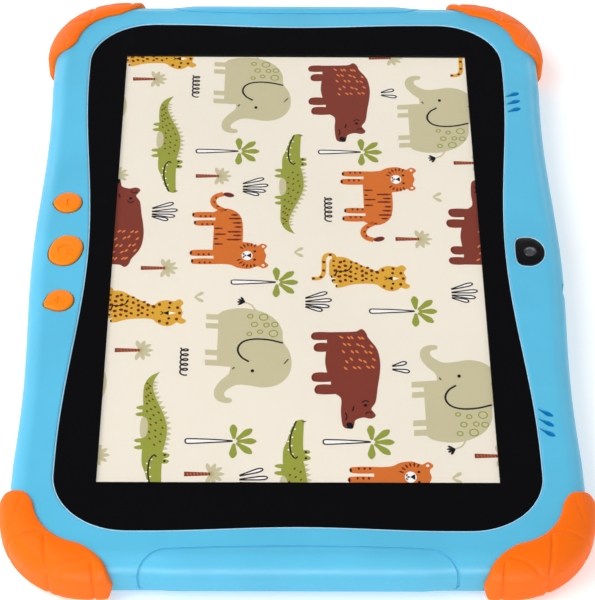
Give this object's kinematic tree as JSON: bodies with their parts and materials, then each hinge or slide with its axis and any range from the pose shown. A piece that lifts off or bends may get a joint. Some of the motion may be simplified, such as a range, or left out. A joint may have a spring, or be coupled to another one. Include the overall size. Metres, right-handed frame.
{
  "type": "child's tablet",
  "caption": "Child's 8 inch tablet: blue moulded case with rubber corner bumpers, glass-fronted display, front power and volume keys, cameras, ports and electronics inside.",
  "frame": {"origin": "middle of the plane that the corner bumpers rest on, under the centre of the screen", "axes": "+X along the long side, +Y towards the edge with the front camera and the ports, +Z out of the screen"},
  "size_m": [0.2306, 0.159, 0.0162],
  "materials": {
    "battery_foil": "laminated foil pouch",
    "black_plastic": "fine moulded",
    "blue_plastic": "smooth satin moulded shell",
    "circuit_board": "solder mask over glass fibre",
    "clear_lens": "polished",
    "copper_foil": "bare foil",
    "cover_glass": "polished, with a printed black border",
    "display": "lit liquid crystal panel",
    "flex_amber": "polyimide film",
    "foam": "closed-cell foam tape",
    "lead_sleeve": "heat-shrink sleeve",
    "orange_key": "satin moulded key",
    "orange_rubber": "satin soft rubber",
    "steel": "plated"
  },
  "bodies": {
    "tablet": {"backlight_unit": "steel", "battery": "battery_foil", "battery_board": "circuit_board", "battery_lead": "lead_sleeve", "battery_tape": "foam", "bumper_lower_left": "orange_rubber", "bumper_lower_right": "orange_rubber", "bumper_upper_left": "orange_rubber", "bumper_upper_right": "orange_rubber", "button_board": "circuit_board", "button_board_screw_1": "steel", "button_board_screw_2": "steel", "button_flex": "flex_amber", "charging_port": "steel", "cover_glass": "cover_glass", "cover_screw_1": "steel", "cover_screw_2": "steel", "cover_screw_3": "steel", "cover_screw_4": "steel", "cover_screw_5": "steel", "cover_screw_6": "steel", "cover_screw_7": "steel", "cover_screw_8": "steel", "display_flex": "flex_amber", "front_camera_lens": "clear_lens", "front_camera_module": "black_plastic", "front_camera_window": "black_plastic", "front_frame": "blue_plastic", "glass_adhesive": "foam", "headphone_jack": "black_plastic", "lcd_panel": "display", "main_board": "circuit_board", "main_board_screw_1": "steel", "main_board_screw_2": "steel", "main_board_screw_3": "steel", "main_board_screw_4": "steel", "memory_card_slot": "steel", "microphone": "steel", "power_switch": "steel", "processor_shield": "steel", "radio_shield": "steel", "rear_camera_lens": "clear_lens", "rear_camera_module": "black_plastic", "rear_camera_ring": "black_plastic", "rear_cover": "blue_plastic", "speaker_gasket_left": "foam", "speaker_gasket_right": "foam", "speaker_left": "black_plastic", "speaker_right": "black_plastic", "support_plate": "steel", "volume_down_switch": "steel", "volume_up_switch": "steel", "wifi_antenna": "copper_foil"},
    "volume_down_key": {"volume_down_button": "orange_key", "volume_down_plunger": "black_plastic"},
    "power_key": {"power_button": "orange_key", "power_plunger": "black_plastic"},
    "volume_up_key": {"volume_up_button": "orange_key", "volume_up_plunger": "black_plastic"}
  },
  "joints": [
    {"name": "volume_down_press", "type": "slide", "parent": "tablet", "child": "volume_down_key", "axis": [0, 0, -1], "range_m": [0, 0.0006], "stiffness_N_per_m": 900},
    {"name": "power_press", "type": "slide", "parent": "tablet", "child": "power_key", "axis": [0, 0, -1], "range_m": [0, 0.0006], "stiffness_N_per_m": 900},
    {"name": "volume_up_press", "type": "slide", "parent": "tablet", "child": "volume_up_key", "axis": [0, 0, -1], "range_m": [0, 0.0006], "stiffness_N_per_m": 900}
  ]
}
